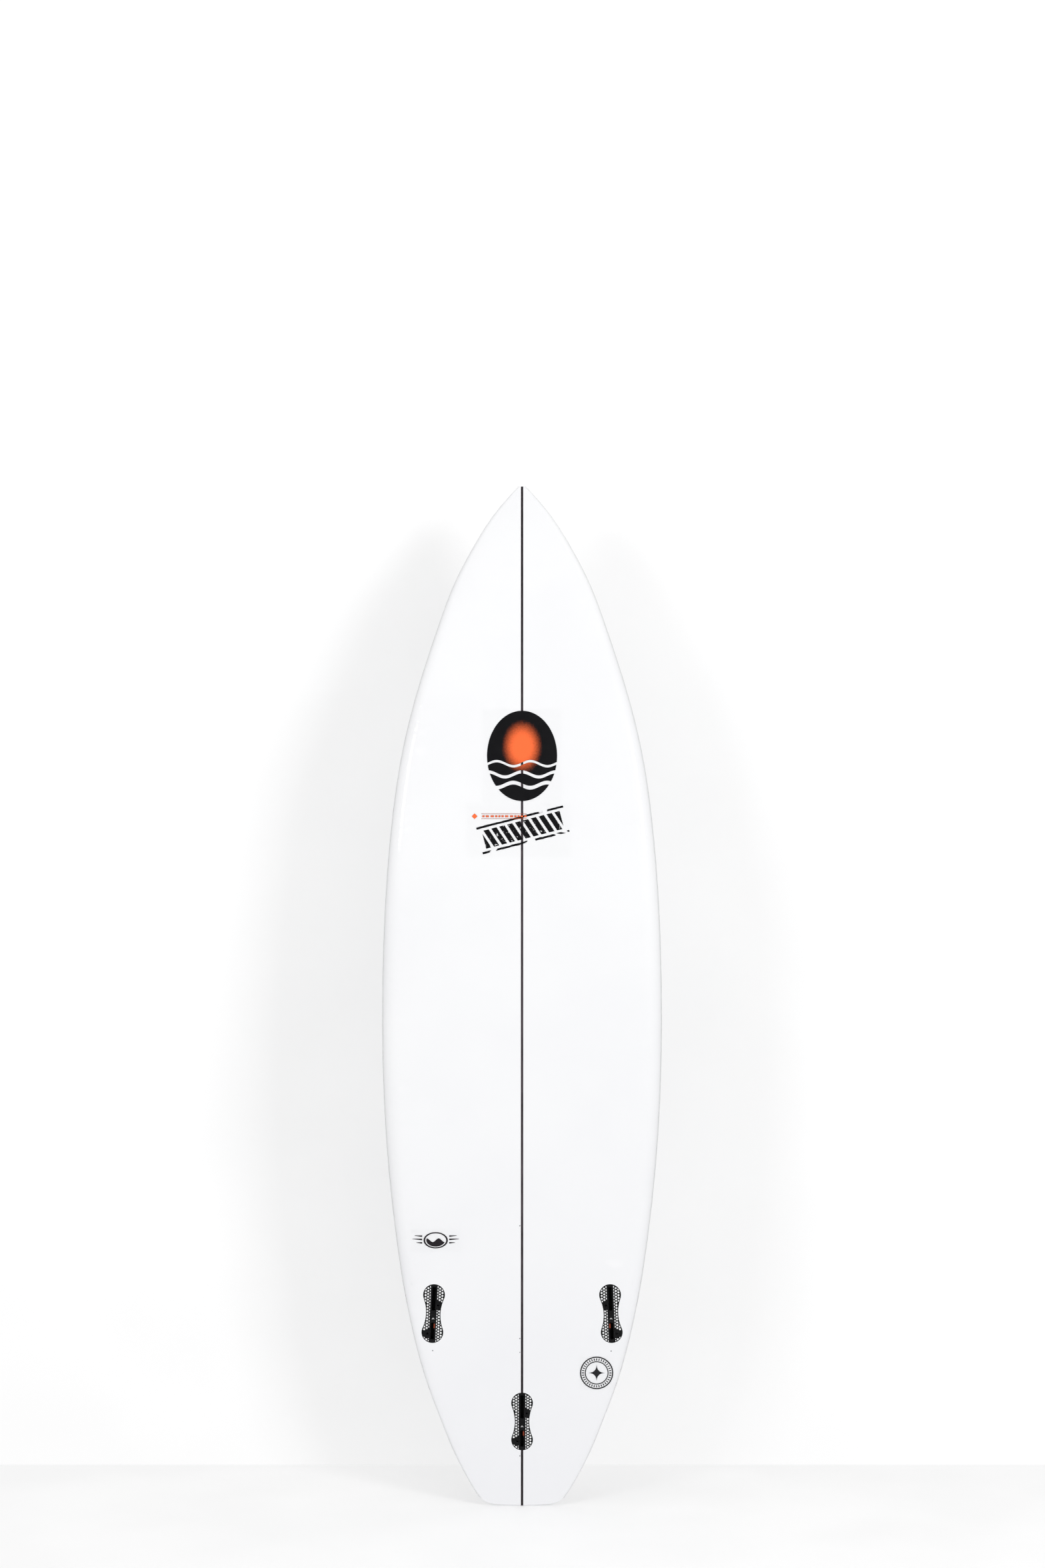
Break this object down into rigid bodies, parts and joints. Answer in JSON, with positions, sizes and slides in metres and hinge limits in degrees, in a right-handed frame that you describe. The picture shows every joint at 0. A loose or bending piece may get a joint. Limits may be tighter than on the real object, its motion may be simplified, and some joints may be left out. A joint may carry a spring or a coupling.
{
  "type": "shortboard surfboard",
  "caption": "Squash-tail shortboard of foam with a wooden stringer, a clear glass skin, prints under it, fin plugs with spring rollers, and a leash plug in the deck.",
  "frame": {"origin": "on the ground under the middle of the board's box, with the board standing on its tail", "axes": "+Z from the tail to the nose, +X to the right as seen from the bottom (wet) side, +Y from the bottom to the deck"},
  "size_m": [0.4954, 0.139, 1.8288],
  "materials": {
    "foam": "matte",
    "glass_skin": "gloss",
    "stringer_wood": "satin",
    "glue": "matte",
    "plug_nylon": "satin",
    "bedding_resin": "satin",
    "titanium": "satin",
    "steel": "polished",
    "roller_polymer": "satin",
    "print_paper": "matte"
  },
  "bodies": {
    "board": {"blank_left": "foam", "blank_right": "foam", "stringer": "stringer_wood", "glue_line_left": "glue", "glue_line_right": "glue", "bottom_laminate": "glass_skin", "deck_laminate": "glass_skin", "fin_plug_left": "plug_nylon", "fin_plug_right": "plug_nylon", "fin_plug_centre": "plug_nylon", "plug_resin_left": "bedding_resin", "plug_resin_right": "bedding_resin", "plug_resin_centre": "bedding_resin", "roller_bar_left": "titanium", "roller_bar_right": "titanium", "roller_bar_centre": "titanium", "leash_cup": "plug_nylon", "leash_bar": "steel", "leash_resin": "bedding_resin", "print_graphic": "print_paper", "print_stamp": "print_paper", "print_name": "print_paper", "print_badge": "print_paper"},
    "roller_left": {"roller_left": "roller_polymer"},
    "roller_right": {"roller_right": "roller_polymer"},
    "roller_centre": {"roller_centre": "roller_polymer"}
  },
  "joints": [
    {"name": "roller_left_spin", "type": "hinge", "parent": "board", "child": "roller_left", "pos_m": [-0.15494, -0.043, 0.32871], "axis": [0.0454, -0.0839, 0.9954], "continuous": true},
    {"name": "roller_right_spin", "type": "hinge", "parent": "board", "child": "roller_right", "pos_m": [0.15494, -0.043, 0.32871], "axis": [-0.0454, -0.0839, 0.9954], "continuous": true},
    {"name": "roller_centre_spin", "type": "hinge", "parent": "board", "child": "roller_centre", "pos_m": [0.0033, -0.02007, 0.13307], "axis": [0, -0.12, 0.9928], "continuous": true}
  ]
}
